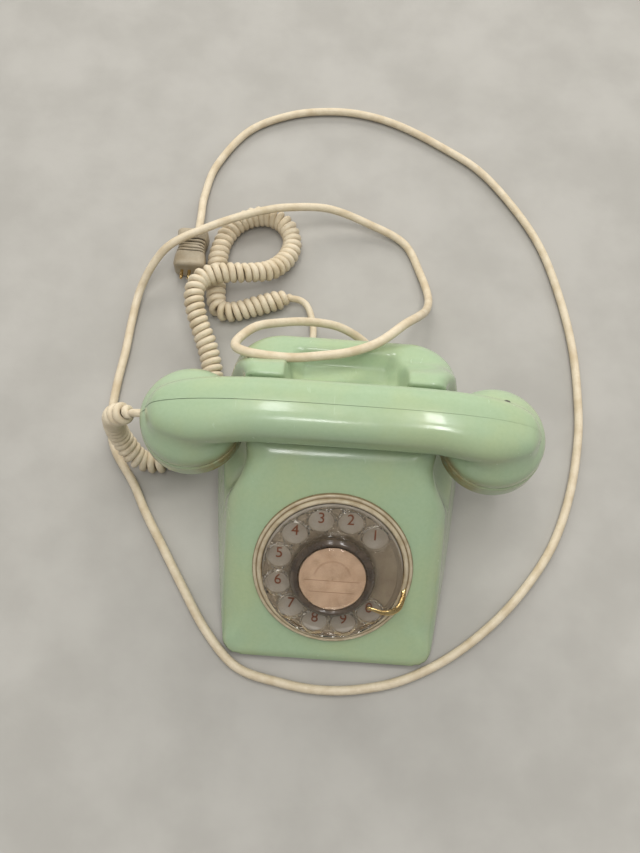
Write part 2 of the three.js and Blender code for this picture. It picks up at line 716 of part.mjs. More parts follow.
function soundCap(side) {
  const cup = turned([[0, capLow], [25.5, capLow], [28, capLow + 1], [podRadius, capLow + 3.2],
    [podRadius, capHigh], [25, capHigh], [25, capLow + 4], [0, capLow + 4]], 28);
  const holes = [post(1.3, 50, 70, 0, 0, 8)];
  for (let k = 0; k < 6; k += 1) {
    holes.push(post(1.3, 50, 70, 8 * Math.cos(turn(60 * k)), 8 * Math.sin(turn(60 * k)), 8));
  }
  return cut(cup, ...holes).translate(side * podX, podY, 0);
}
add(phone, 'mouth_cap', soundCap(-1), palette.shell);
add(phone, 'ear_cap', soundCap(1), palette.shell);

function capsule(side) {
  const body = turned([[0, 64], [21, 64], [24, 67], [24, 71], [20, 80], [0, 80]], 28);
  return body.translate(side * podX, podY, 0);
}
add(phone, 'transmitter_capsule', capsule(-1), palette.black);
add(phone, 'receiver_capsule', capsule(1), palette.steel);

// ---- cords ----
// Coiled cord: hangs from the mouth end, runs back along the floor, makes a ring and enters the rear wall.
const coilPath = [[-119, 27, 72], [-129, 29, 62], [-134, 32, 44], [-133, 30, 24], [-123, 22, 10],
  [-108, 22, 7], [-95, 34, 7], [-86, 56, 7], [-84, 80, 8], [-89, 100, 12], [-97, 118, 18], [-101, 134, 22],
  [-97, 146, 22.5], [-84, 151, 22.5], [-68, 154, 20], [-53, 161, 14], [-43, 175, 9], [-41, 190, 7],
  [-48, 203, 7], [-62, 208, 7], [-76, 203, 7], [-86, 191, 7], [-90, 176, 7], [-90, 160, 7], [-89, 145, 7],
  [-86, 133, 7], [-76, 131, 7], [-57, 138, 7], [-40, 144, 7]];

function handsetCord() {
  const lead = tube([[-109.5, podY, 76], [-114, podY, 76], coilPath[0], coilPath[1]], 2.6, 8);
  const tail = tube([...coilPath.slice(-2), [-28, 142, 4], [-22, 126, 3.2], [-22, 108, 7], [-24, 96, 12.6],
    [-24, 78, 13]], 2.6, 24);
  return join(tube(coilPath, coilRadius, 84, 8), lead, tail);
}
add(phone, 'handset_cord', handsetCord(), palette.cord);

const low = lineCordRadius + 0.3;
// Line cord: from the plug, once round the telephone, over the rear rim and into the rear wall.
const linePath = [[-106, 190, 8], [-106, 204, 6], [-106, 225, low], [-100, 252, low], [-80, 284, low],
  [-51, 301, low], [-22, 307, low], [4, 306, low], [31, 298, low], [61, 282, low], [90, 262, low],
  [115, 231, low], [133, 199, low], [145, 160, low], [152, 122, low], [154, 86, low], [153, 58, low],
  [147, 23, low], [136, -10, low], [120, -37, low], [99, -62, low], [73, -84, low], [46, -99, low],
  [21, -106, low], [-2, -108, low], [-25, -105.5, low], [-51, -98.5, low], [-71, -79, low], [-88, -54, low],
  [-102, -32, low], [-116, -10, low], [-126, 8, low], [-141, 30, low], [-146, 50, low], [-146, 74, low],
  [-144, 98, low], [-143, 122, low], [-140, 144, 6], [-131, 160, 16], [-119, 171, 23.5], [-97, 184, 25],
  [-78, 194, 24.5], [-62, 201, 23.5], [-45, 207, 21], [-17, 213, 14], [12, 208, 6], [37, 196, low],
  [49, 172, low], [54, 152, 8], [51, 132, 26], [43, 110, 56], [33, 94, 74], [18, 80, 80], [2, 72, 80],
  [-15, 67, 82], [-30, 65, 88], [-45, 63.5, 90.5], [-57, 64.5, 90], [-66, 69, 85], [-66, 79, 76],
  [-56, 90, 66], [-42, 101, 52], [-25, 109, 41], [-6, 113, 30], [10, 110, 20], [20, 102, 14.5],
  [cordHoleX, 94, cordHoleZ], [cordHoleX, 78, cordHoleZ]];
add(phone, 'line_cord', tube(linePath, lineCordRadius, 150), palette.cord);

function linePlug() {
  const outline = new THREE.Shape();
  const [w, l, r] = [10.5, 15, 4];
  outline.moveTo(-w + r, -l);
  outline.lineTo(w - r, -l);
  outline.absarc(w - r, -l + r, r, -Math.PI / 2, 0, false);
  outline.lineTo(w, l - r);
  outline.absarc(w - r, l - r, r, 0, Math.PI / 2, false);
  outline.lineTo(-w + r, l);
  outline.absarc(-w + r, l - r, r, Math.PI / 2, Math.PI, false);
  outline.lineTo(-w, -l + r);
  outline.absarc(-w + r, -l + r, r, Math.PI, 1.5 * Math.PI, false);
  const shell = plate(outline, 0.4, 18, 4).translate(-108.5, 174, 0);
  const pins = [-5, 0, 5].map((x) => rodY(1.1, 152, 160, -108.5 + x, 9, 10));
  return join(shell, ...pins);
}
const plugWithBore = () => cut(linePlug(), rodY(lineCordRadius + 0.4, 182, 200, -106, 8, 12));
add(phone, 'line_plug', plugWithBore(), palette.taupe);

phone.position.z = -plateLow;

export default phone;
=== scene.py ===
"""The looks of a pale green rotary desk telephone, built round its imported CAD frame.

Shapes are worked out in millimetres above the desk the feet stand on, then placed in the frame's metres.
Moulded shells come from fields: a function that is negative inside the plastic and zero on its skin.
"""

import json
import math

import bmesh
import bpy
import numpy as np
from mathutils import Matrix, Vector


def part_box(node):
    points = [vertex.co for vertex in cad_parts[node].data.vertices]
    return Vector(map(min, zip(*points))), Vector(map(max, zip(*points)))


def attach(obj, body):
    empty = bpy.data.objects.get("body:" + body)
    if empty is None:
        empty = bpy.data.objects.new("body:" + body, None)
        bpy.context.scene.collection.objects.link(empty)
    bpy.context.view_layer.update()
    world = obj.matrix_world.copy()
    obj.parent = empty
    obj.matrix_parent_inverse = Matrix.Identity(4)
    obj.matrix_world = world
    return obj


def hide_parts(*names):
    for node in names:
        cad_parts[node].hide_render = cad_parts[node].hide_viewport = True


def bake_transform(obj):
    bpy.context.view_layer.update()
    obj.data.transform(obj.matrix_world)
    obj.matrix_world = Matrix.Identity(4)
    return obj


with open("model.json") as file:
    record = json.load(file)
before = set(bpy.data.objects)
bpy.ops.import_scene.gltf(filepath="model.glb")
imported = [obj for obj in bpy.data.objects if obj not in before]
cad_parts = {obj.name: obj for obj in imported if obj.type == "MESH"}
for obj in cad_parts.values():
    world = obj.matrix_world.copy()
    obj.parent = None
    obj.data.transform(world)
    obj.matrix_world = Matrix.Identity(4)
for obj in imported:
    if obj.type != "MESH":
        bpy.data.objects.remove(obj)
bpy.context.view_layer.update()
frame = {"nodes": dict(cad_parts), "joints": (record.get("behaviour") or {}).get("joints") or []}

MM = 0.001
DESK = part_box("foot_front_left")[0].z


def corners(node):
    """Lowest and highest corner of a CAD node, in millimetres above the desk."""
    low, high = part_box(node)
    desk = Vector((0, 0, DESK))
    return np.array((low - desk) / MM), np.array((high - desk) / MM)


def middle(node):
    low, high = corners(node)
    return (low + high) / 2


# ---------------------------------------------------------------- sizes

body_low, body_high = corners("housing")
FRONT, REAR = body_low[1], body_high[1]
SKIRT = body_low[2]
HALF_FRONT = 59.0
WIDENING = body_high[0] + 0.4 - HALF_FRONT
WALL = 3.0
DECK = 82.0
HORN_RISE = 16.0

spin = next(joint for joint in frame["joints"] if joint["name"] == "dial_spin")
dial_axis = -Vector(spin["axis"])
dial_tilt = math.atan2(-dial_axis.y, dial_axis.z)
dial_centre = Vector(spin["pos_m"])
dial_matrix = Matrix.Translation(dial_centre) @ Matrix.Rotation(dial_tilt, 4, "X") @ Matrix.Scale(MM, 4)
FACE_RISE = math.tan(dial_tilt)
DIAL_Y = dial_centre.y / MM
DIAL_Z = (dial_centre.z - DESK) / MM
DIAL_HOLE_RADIUS = 37.5
DIGIT_ONE = 45.0
HOLE_CIRCLE = 31.2
HOLE_RADIUS = 6.85
WHEEL_RADIUS = 38.6
WHEEL_THICKNESS = 2.7

handset_high = corners("handset_shell")[1]
cap_low, cap_high = corners("ear_cap")
POD_X, POD_Y = middle("ear_cap")[:2]
POD_RADIUS = (cap_high[0] - cap_low[0]) / 2
PLUNGER_X, HANDLE_Y = middle("plunger_right")[:2]
PLUNGER_HOLE_RADIUS = 4.3
HANDLE_END = POD_X + 24
HANDLE_HALF_WIDTH = 17.2
HANDLE_HALF_HEIGHT = 13.0
HANDLE_Z = DECK + 3.2 + HANDLE_HALF_HEIGHT

CORD_SPREAD = 24.0
CORD_HEIGHT = 13.0
CORD_HOLE_RADIUS = 3.6
HANDSET_CORD_HEIGHT = 76.0
LINE_CORD_RADIUS = 2.7
COIL_PITCH = 4.75
COIL_OUTER = 6.9
COIL_WIRE = 2.3


# ---------------------------------------------------------------- small mathematics


def smooth(start, end, value):
    """0 before start, 1 after end and an S curve between them."""
    t = np.clip((value - start) / (end - start), 0, 1)
    return t * t * (3 - 2 * t)


def rounded_max(a, b, radius):
    """Two fields cut to what they share, with the edge between them rounded."""
    both = np.hypot(np.maximum(a + radius, 0), np.maximum(b + radius, 0))
    return np.minimum(np.maximum(a, b), -radius) + both


def soft_min(a, b, width):
    """Two fields merged, with the crease between them filled in over about width."""
    near = np.clip(0.5 + 0.5 * (b - a) / width, 0, 1)
    return b + (a - b) * near - width * near * (1 - near)


def soft_max(a, b, width):
    return -soft_min(-a, -b, width)


def spline(points, count):
    """Evenly spaced points on a smooth curve through the given points."""
    points = np.array(points, float)
    ends = [2 * points[0] - points[1]], [2 * points[-1] - points[-2]]
    p = np.concatenate([ends[0], points, ends[1]])
    t = np.linspace(0, 1, 16, endpoint=False)[:, None]
    rows = []
    for a, b, c, d in zip(p, p[1:], p[2:], p[3:]):
        cubic = (3 * b - a - 3 * c + d) * t**3
        square = (2 * a - 5 * b + 4 * c - d) * t**2
        rows.append((2 * b + (c - a) * t + square + cubic) / 2)
    curve = np.concatenate(rows + [points[-1:]])
    reach = np.concatenate([[0], np.cumsum(np.linalg.norm(np.diff(curve, axis=0), axis=1))])
    even = np.linspace(0, reach[-1], count)
    return np.stack([np.interp(even, reach, curve[:, k]) for k in range(3)], axis=1)


# ---------------------------------------------------------------- meshes


def make_mesh(name, points, faces, matrix=None):
    """A smooth-shaded object from points in millimetres above the desk, or in matrix's own space."""
    points = np.asarray(points, float)
    if matrix is None:
        points = points * MM + np.array([0, 0, DESK])
    mesh = bpy.data.meshes.new(name)
    mesh.from_pydata(points.tolist(), [], [list(map(int, f)) for f in faces])
    if matrix is not None:
        mesh.transform(matrix)
    mesh.validate()
    mesh.shade_smooth()
    piece = bpy.data.objects.new(name, mesh)
    bpy.context.scene.collection.objects.link(piece)
    return piece


def sharp_edges(piece, degrees):
    """Flat-to-flat edges steeper than this stay crisp."""
    piece.data.set_sharp_from_angle(angle=math.radians(degrees))
    return piece


def settle(piece, body, node=None):
    """The piece rides a body and stands in for a CAD node, where one is given."""
    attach(piece, body)
    if node:
        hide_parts(node)


def net(values):
    """Vertices, in grid steps, and quads of the zero surface of a grid of field values."""
    shape = values.shape
    total = np.zeros([n - 1 for n in shape] + [3])
    count = np.zeros(total.shape[:3])
    crossings = []
    for axis in range(3):
        others = [k for k in range(3) if k != axis]
        first = [slice(None)] * 3
        second = [slice(None)] * 3
        first[axis] = slice(0, -1)
        second[axis] = slice(1, None)
        start, end = values[tuple(first)], values[tuple(second)]
        crossed = (start < 0) != (end < 0)
        share = np.where(crossed, start / np.where(crossed, start - end, 1), 0)
        crossings.append((crossed, start < 0))
        for a in (0, 1):
            for b in (0, 1):
                cut = [slice(None)] * 3
                cut[others[0]] = slice(a, shape[others[0]] - 1 + a)
                cut[others[1]] = slice(b, shape[others[1]] - 1 + b)
                hit = crossed[tuple(cut)]
                count += hit
                total[..., axis] += share[tuple(cut)]
                total[..., others[0]] += a * hit
                total[..., others[1]] += b * hit
    used = count > 0
    number = np.full(used.shape, -1)
    number[used] = np.arange(used.sum())
    points = np.argwhere(used) + total[used] / count[used][:, None]
    quads = []
    for axis, (crossed, starts_inside) in enumerate(crossings):
        others = [k for k in range(3) if k != axis]
        u, v = np.eye(3, dtype=int)[others[0]], np.eye(3, dtype=int)[others[1]]
        edges = np.argwhere(crossed)
        ring = [number[tuple((edges - shift).T)] for shift in (u + v, v, 0 * u, u)]
        ring = np.stack(ring, axis=1)
        outward = starts_inside[crossed] != (axis == 1)
        ring[~outward] = ring[~outward][:, ::-1]
        quads.append(ring)
    return points, np.concatenate(quads)


def slope_of(field, points):
    """The field's gradient at each point."""
    step = 0.04
    columns = []
    for axis in range(3):
        shift = np.zeros(3)
        shift[axis] = step
        ahead, behind = field(*(points + shift).T), field(*(points - shift).T)
        columns.append((ahead - behind) / (2 * step))
    return np.stack(columns, axis=1)


def even_out(points, quads):
    """Each vertex moved halfway to the middle of its neighbours."""
    total = np.zeros_like(points)
    count = np.zeros(len(points))
    for a, b in ((0, 1), (1, 2), (2, 3), (3, 0)):
        np.add.at(total, quads[:, a], points[quads[:, b]])
        np.add.at(total, quads[:, b], points[quads[:, a]])
        np.add.at(count, quads[:, a], 1)
        np.add.at(count, quads[:, b], 1)
    return points * 0.5 + total / count[:, None] * 0.5


def skin(name, field, low, high, step, matrix=None):
    """A quad mesh of a field's skin inside the box from low to high."""
    axes = [np.arange(a - 2.3 * step, b + 3 * step, step) for a, b in zip(low, high)]
    grid = np.meshgrid(*axes, indexing="ij")
    points, quads = net(field(*grid))
    points = points * step + np.array([axis[0] for axis in axes])
    points = even_out(points, quads)
    for _ in range(5):
        slope = slope_of(field, points)
        steep = np.maximum((slope**2).sum(axis=1), 0.05)
        move = (field(*points.T) / steep)[:, None] * slope
        points -= np.clip(move, -step, step)
    return make_mesh(name, points, quads, matrix)


def lathe(name, outline, turns=144, matrix=None, closed=True):
    """An outline of (radius, height) corners turned about the upright axis."""
    outline = np.array(outline, float)
    angles = np.linspace(0, 2 * math.pi, turns, endpoint=False)
    rings = [
        np.stack([outline[:, 0] * math.cos(a), outline[:, 0] * math.sin(a), outline[:, 1]], 1)
        for a in angles
    ]
    n = len(outline)
    faces = []
    for i in range(turns):
        after = (i + 1) % turns
        for k in range(n if closed else n - 1):
            m = (k + 1) % n
            faces.append((i * n + k, after * n + k, after * n + m, i * n + m))
    piece = make_mesh(name, np.concatenate(rings), faces, matrix)
    return sharp_edges(piece, 50)


def eased(outline, cut, steps=5, closed=True):
    """The outline with each corner turned into a small curve that begins cut before it."""
    points = np.array(outline, float)
    n = len(points)
    rows = []
    for k in range(n):
        here = points[k]
        if not closed and k in (0, n - 1):
            rows.append(here[None])
            continue
        before, after = points[k - 1] - here, points[(k + 1) % n] - here
        start = here + before * min(0.48, cut / max(np.linalg.norm(before), 1e-9))
        end = here + after * min(0.48, cut / max(np.linalg.norm(after), 1e-9))
        t = np.linspace(0, 1, steps)[:, None]
        rows.append(start * (1 - t) ** 2 + 2 * here * t * (1 - t) + end * t**2)
    return np.concatenate(rows)


def carried(path):
    """Two directions across a path that turn with it without twisting."""
    along = np.gradient(path, axis=0)
    along /= np.linalg.norm(along, axis=1)[:, None]
    side = np.zeros_like(path)
    start = np.cross(along[0], [0.3, 0.2, 1])
    side[0] = start / np.linalg.norm(start)
    for k in range(1, len(path)):
        flat = side[k - 1] - along[k] * (side[k - 1] @ along[k])
        side[k] = flat / np.linalg.norm(flat)
    return along, side, np.cross(along, side)


def sleeve(rings):
    """Points and faces of a closed skin through rings with equal numbers of points."""
    n = len(rings[0])
    faces = []
    for i in range(len(rings) - 1):
        for k in range(n):
            m = (k + 1) % n
            faces.append((i * n + k, i * n + m, (i + 1) * n + m, (i + 1) * n + k))
    last = (len(rings) - 1) * n
    faces.append(tuple(range(n))[::-1])
    faces.append(tuple(range(last, last + n)))
    return np.concatenate(rings), faces


def tube(path, radius, sides=14):
    """Points and faces of a round cord along a path, with closed ends."""
    path = np.asarray(path, float)
    radius = np.broadcast_to(radius, len(path))
    _, side, over = carried(path)
    angles = np.linspace(0, 2 * math.pi, sides, endpoint=False)
    turn = np.cos(angles)[None, :, None] * side[:, None] + np.sin(angles)[None, :, None] * over[:, None]
    return sleeve(path[:, None] + turn * radius[:, None, None])


# ---------------------------------------------------------------- materials


def paint(red, green, blue):
    """A screen colour, each part 0 to 255, as the linear colour a shader takes."""
    parts = [c / 255 for c in (red, green, blue)]
    linear = [c / 12.92 if c <= 0.04045 else ((c + 0.055) / 1.055) ** 2.4 for c in parts]
    return (*linear, 1)


GREEN = paint(155, 174, 140)
GREEN_AGED = paint(161, 175, 135)
GREEN_DEEP = paint(132, 154, 118)
GRIME = paint(150, 120, 70)
CHIPPED = paint(44, 44, 34)
IVORY = paint(190, 177, 151)
IVORY_DEEP = paint(160, 143, 114)
CARD = paint(166, 148, 132)
CARD_AGED = paint(154, 134, 116)
CARD_INK = paint(112, 84, 66)


class Look:
    """A procedural material; each method adds a node and returns its output."""

    def __init__(self, name):
        self.material = bpy.data.materials.new(name)
        self.material.use_nodes = True
        self.tree = self.material.node_tree
        self.tree.nodes.clear()
        self.place = self.node("ShaderNodeTexCoord").outputs["Object"]

    def node(self, kind, inputs=None, **settings):
        made = self.tree.nodes.new(kind)
        for key, value in settings.items():
            setattr(made, key, value)
        for key, value in (inputs or {}).items():
            self.feed(made.inputs[key], value)
        return made

    def feed(self, socket, value):
        if isinstance(value, bpy.types.NodeSocket):
            self.tree.links.new(value, socket)
        else:
            socket.default_value = value

    def noise(self, size, detail=4, roughness=0.55, stretch=None, place=None):
        """Cloudy noise whose lumps are about size millimetres across."""
        place = place or self.place
        if stretch:
            place = self.node("ShaderNodeMapping", {0: place, "Scale": stretch}).outputs[0]
        made = self.node(
            "ShaderNodeTexNoise",
            {"Vector": place, "Scale": 1 / (size * MM), "Detail": detail, "Roughness": roughness},
        )
        return made.outputs["Fac"]

    def span(self, value, low, high, to_low=0.0, to_high=1.0):
        """value from low to high, spread over to_low to to_high."""
        made = self.node(
            "ShaderNodeMapRange",
            {0: value, 1: low, 2: high, 3: to_low, 4: to_high},
            interpolation_type="SMOOTHSTEP",
        )
        return made.outputs[0]

    def math(self, operation, a, b=0.0):
        return self.node("ShaderNodeMath", {0: a, 1: b}, operation=operation).outputs[0]

    def mix(self, share, a, b, blend="MIX"):
        made = self.node("ShaderNodeMix", {0: share, 6: a, 7: b}, data_type="RGBA", blend_type=blend)
        return made.outputs[2]

    def part(self, axis):
        """One coordinate of the surface point, in metres."""
        return self.node("ShaderNodeSeparateXYZ", {0: self.place}).outputs[axis]

    def bump(self, height, depth, under=None):
        """A relief depth millimetres deep."""
        inputs = {"Height": height, "Strength": 1.0, "Distance": depth * MM}
        if under:
            inputs["Normal"] = under
        return self.node("ShaderNodeBump", inputs).outputs[0]

    def surface(self, **inputs):
        names = {key.replace("_", " "): value for key, value in inputs.items()}
        shader = self.node("ShaderNodeBsdfPrincipled", names)
        self.finish(shader.outputs[0])
        return self.material

    def finish(self, shader):
        self.node("ShaderNodeOutputMaterial", {"Surface": shader})
        return self.material


def moulded_green(name, grime=None, chip=None):
    """Glossy pale green plastic, clouded by age, with brown grime between two heights or one dark chip."""
    look = Look(name)
    clouds = look.noise(38, 3)
    fine = look.noise(2.2, 5)
    colour = look.mix(look.span(clouds, 0.35, 0.7), GREEN, GREEN_AGED)
    colour = look.mix(look.span(fine, 0.3, 0.8, 0.0, 0.18), colour, GREEN_DEEP)
    specks = look.span(look.noise(1.1, 2), 0.73, 0.78, 0.0, 0.35)
    rare = look.span(look.noise(24, 2), 0.52, 0.66)
    colour = look.mix(look.math("MULTIPLY", specks, rare), colour, GRIME)
    if grime:
        band = look.span(look.part(2), grime[1], grime[0])
        inward = look.span(look.math("ABSOLUTE", look.part(0)), POD_X * MM, (POD_X - 18) * MM, 0.15, 1)
        patchy = look.span(look.noise(9, 4), 0.3, 0.56, 0.3, 0.85)
        colour = look.mix(look.math("MULTIPLY", look.math("MULTIPLY", band, inward), patchy), colour, GRIME)
    if chip:
        far = look.node("ShaderNodeVectorMath", {0: look.place, 1: chip}, operation="DISTANCE")
        raggedness = look.math("MULTIPLY", look.noise(1.6, 3), 1.4 * MM)
        ragged = look.math("ADD", far.outputs["Value"], raggedness)
        colour = look.mix(look.span(ragged, 2.3 * MM, 3.0 * MM, 1, 0), colour, CHIPPED)
    haze = look.noise(9, 5)
    scratches = look.noise(3, 3, stretch=(1.0, 0.06, 1.0))
    dulling = look.span(scratches, 0.62, 0.8, 0.0, 0.1)
    wear = look.math("ADD", look.span(haze, 0.3, 0.75, 0.15, 0.27), dulling)
    relief = look.bump(look.noise(14, 2), 0.05)
    relief = look.bump(look.noise(0.7, 2), 0.004, relief)
    return look.surface(
        Base_Color=colour,
        Roughness=wear,
        Normal=relief,
        Coat_Weight=0.35,
        Coat_Roughness=0.06,
    )


def dull_plastic(name, colour, darker, roughness=0.4, grain=1.2, depth=0.02):
    """Satin plastic or rubber with a fine grain and a little soil."""
    look = Look(name)
    soil = look.noise(11, 4)
    fine = look.noise(grain, 4)
    shade = look.mix(look.span(soil, 0.35, 0.75), colour, darker)
    shade = look.mix(look.span(fine, 0.35, 0.8, 0.0, 0.35), shade, darker)
    rough = look.span(fine, 0.2, 0.8, roughness - 0.07, roughness + 0.12)
    return look.surface(Base_Color=shade, Roughness=rough, Normal=look.bump(fine, depth))


def metal(name, colour, tarnish, roughness=0.28, brush=(1.0, 1.0, 0.08)):
    """Metal with brushing and patches of tarnish."""
    look = Look(name)
    patches = look.span(look.noise(8, 5), 0.42, 0.72)
    lines = look.noise(0.9, 3, stretch=brush)
    shade = look.mix(patches, colour, tarnish)
    brushed = look.span(lines, 0.3, 0.7, roughness - 0.04, roughness + 0.05)
    rough = look.math("ADD", brushed, look.math("MULTIPLY", patches, 0.15))
    return look.surface(Base_Color=shade, Metallic=1.0, Roughness=rough, Normal=look.bump(lines, 0.002))


def clear_plastic(name, tint):
    """Clear moulded acrylic that lets light through to what lies under it."""
    look = Look(name)
    haze = look.noise(6, 4)
    ripple = look.bump(look.noise(9, 2), 0.06)
    glass = look.node(
        "ShaderNodeBsdfPrincipled",
        {
            "Base Color": look.mix(look.span(haze, 0.3, 0.8, 0.0, 0.3), tint, paint(176, 164, 146)),
            "Roughness": look.span(haze, 0.3, 0.8, 0.02, 0.09),
            "IOR": 1.45,
            "Transmission Weight": 1.0,
            "Normal": ripple,
        },
    )
    through = look.node("ShaderNodeBsdfTransparent", {"Color": tint})
    shadow = look.node("ShaderNodeLightPath").outputs["Is Shadow Ray"]
    both = look.node("ShaderNodeMixShader", {0: shadow, 1: glass.outputs[0], 2: through.outputs[0]})
    return look.finish(both.outputs[0])


def printed_card(name):
    """Pinkish card with two ruled lines and a faint arc."""
    look = Look(name)
    local = dial_space(look)
    parts = look.node("ShaderNodeSeparateXYZ", {0: local})
    x, y = parts.outputs[0], parts.outputs[1]
    card = look.mix(look.span(look.noise(7, 4), 0.3, 0.75), CARD, CARD_AGED)
    card = look.mix(look.span(look.noise(0.5, 4), 0.35, 0.8, 0.0, 0.25), card, CARD_AGED)
    for height, reach in ((-1.6, 15.5), (-8.4, 12.5)):
        gap = look.math("ABSOLUTE", look.math("SUBTRACT", y, height * MM))
        near = look.span(gap, 0.1 * MM, 0.28 * MM, 1, 0)
        within = look.span(look.math("ABSOLUTE", x), (reach - 0.3) * MM, reach * MM, 0.7, 0)
        card = look.mix(look.math("MULTIPLY", near, within), card, CARD_INK)
    gap = look.math("ABSOLUTE", look.math("SUBTRACT", dial_reach(look), 9.8 * MM))
    arc = look.span(gap, 0.3 * MM, 0.8 * MM, 1, 0)
    upper = look.span(y, 0.5 * MM, 3.5 * MM, 0, 0.28)
    card = look.mix(look.math("MULTIPLY", arc, upper), card, CARD_INK)
    return look.surface(Base_Color=card, Roughness=0.72, Normal=look.bump(look.noise(0.4, 3), 0.02))


def dial_space(look):
    """The surface point in the dial's own axes, in metres from the dial's centre."""
    minus = look.node("ShaderNodeVectorMath", {0: look.place, 1: tuple(dial_centre)}, operation="SUBTRACT")
    turn = look.node(
        "ShaderNodeVectorRotate",
        {"Vector": minus.outputs[0], "Angle": -dial_tilt, "Axis": (1, 0, 0)},
        rotation_type="AXIS_ANGLE",
    )
    return turn.outputs[0]


def dial_reach(look):
    """Distance of the surface point from the dial's axis, in metres."""
    flat = look.node("ShaderNodeVectorMath", {0: dial_space(look), 1: (1, 1, 0)}, operation="MULTIPLY")
    length = look.node("ShaderNodeVectorMath", {0: flat.outputs[0]}, operation="LENGTH")
    return length.outputs["Value"]


# ---------------------------------------------------------------- housing


def body_half_width(y):
    """The housing widens quickly behind its front edge, then runs nearly straight."""
    along = np.clip((y - FRONT) / (REAR - FRONT), 0, 1)
    return HALF_FRONT + WIDENING * (1 - (1 - along) ** 1.6)


def body_top(x, y):
    """Height of the sloping face, the deck, the two horns and the hand hollow."""
    face = DIAL_Z + (y - DIAL_Y) * FACE_RISE
    deck = DECK - 0.22 * np.maximum(y - 43, 0)
    across = np.abs(x)
    hollow = 8 * smooth(44, 58, y) * (1 - smooth(64, 76, y)) * (1 - smooth(22, 33, across))
    horn = HORN_RISE * smooth(40.8, 45.8, y) * (1 - smooth(50, 71, y)) * smooth(29, 35, across)
    return soft_min(face, deck, 6) - hollow + horn


def body_field(x, y, z):
    """The solid body: walls that lean in, draw in at the waist behind the dial and round off at the top."""
    step = 0.4
    lean_x = (body_top(x + step, y) - body_top(x - step, y)) / (2 * step)
    lean_y = (body_top(x, y + step) - body_top(x, y - step)) / (2 * step)
    above = (z - body_top(x, y)) / np.sqrt(1 + lean_x**2 + lean_y**2)
    drawn_in = smooth(-14, 10, y) * (1 - smooth(46, 60, y))
    waist = drawn_in * (11 * smooth(36, 56, z) - 0.2 * np.maximum(z - 56, 0))
    beside = np.abs(x) - (body_half_width(y) - 0.2 * (z - 6) - waist)
    ends = np.maximum(y - REAR, FRONT - y)
    rear_corner = 26 + 4 * smooth(10, 75, z)
    wall = rounded_max(beside, ends, np.where(y > 0, rear_corner, 10.0))
    shoulder = 4 + 10 * smooth(FRONT + 4, FRONT + 22, y) - 6 * smooth(4, 16, y)
    shoulder = shoulder + 2 * smooth(56, 72, y)
    return rounded_max(above, wall, shoulder)


def housing_field(x, y, z):
    """The moulded shell, open below, with its holes."""
    outer = body_field(x, y, z)
    shell = soft_max(outer, -(outer + WALL), 0.3)
    shell = rounded_max(shell, SKIRT - z, 0.8)
    up_face = (y - DIAL_Y) * math.cos(dial_tilt) + (z - DIAL_Z) * math.sin(dial_tilt)
    out_face = (z - DIAL_Z) * math.cos(dial_tilt) - (y - DIAL_Y) * math.sin(dial_tilt)
    dial_hole = DIAL_HOLE_RADIUS - np.hypot(x, up_face)
    shell = np.where(out_face > -8, np.maximum(shell, dial_hole), shell)
    plungers = PLUNGER_HOLE_RADIUS - np.hypot(np.abs(x) - PLUNGER_X, y - HANDLE_Y)
    shell = np.where(z > DECK / 2, rounded_max(shell, plungers, 0.5), shell)
    cords = CORD_HOLE_RADIUS - np.hypot(np.abs(x) - CORD_SPREAD, z - CORD_HEIGHT)
    return np.where(y > 60, np.maximum(shell, cords), shell)


def build_housing():
    low = (-80, FRONT, SKIRT)
    high = (80, REAR, DECK + HORN_RISE)
    piece = skin("housing_shell", housing_field, low, high, 1.35)
    sharp_edges(piece, 60)
    piece.data.materials.append(moulded_green("green_housing"))
    settle(piece, "base", "housing")


# ---------------------------------------------------------------- handset


def pod_field(x, y, z):
    """A dome over each cap; both ends at once."""
    out = np.hypot(np.abs(x) - POD_X, y - POD_Y)
    radius = POD_RADIUS - 0.5
    dome_start = cap_high[2] + 3.3
    rise = 20.0
    side = out - radius
    reach = np.sqrt((out / radius) ** 2 + (np.maximum(z - dome_start, 0) / rise) ** 2 + 1e-9)
    dome = (reach - 1) * rise
    return np.where(z > dome_start, dome, side)


def handle_field(x, y, z):
    """A bar of squared oval section that thins and dips towards both ends."""
    along = np.minimum(np.abs(x) / HANDLE_END, 1.2)
    taper = np.sqrt(np.maximum(1 - along**6, 0.04))
    sink = 9 * along**3
    bulge = 4.5 * smooth(45, 84, np.abs(x)) * (y < HANDLE_Y)
    wide = np.abs((y - HANDLE_Y) / ((HANDLE_HALF_WIDTH + bulge) * taper))
    tall = np.abs((z - HANDLE_Z + sink) / (HANDLE_HALF_HEIGHT * taper))
    reach = (wide**2.6 + tall**2.6 + 1e-9) ** (1 / 2.6)
    round_part = (reach - 1) * HANDLE_HALF_HEIGHT * taper
    return rounded_max(round_part, np.abs(x) - HANDLE_END, 8)


def handset_field(x, y, z):
    """Handle and pods merged, hollow over the caps, with a hole for the cord at the mouth end."""
    pods = pod_field(x, y, z)
    solid = soft_min(pods, handle_field(x, y, z), 5)
    solid = soft_max(solid, -(pods + 2.6), 0.4)
    solid = rounded_max(solid, cap_high[2] + 0.3 - z, 0.5)
    cord_hole = 3.2 - np.hypot(y - POD_Y, z - HANDSET_CORD_HEIGHT)
    return np.where(x < -POD_X - 15, np.maximum(solid, cord_hole), solid)


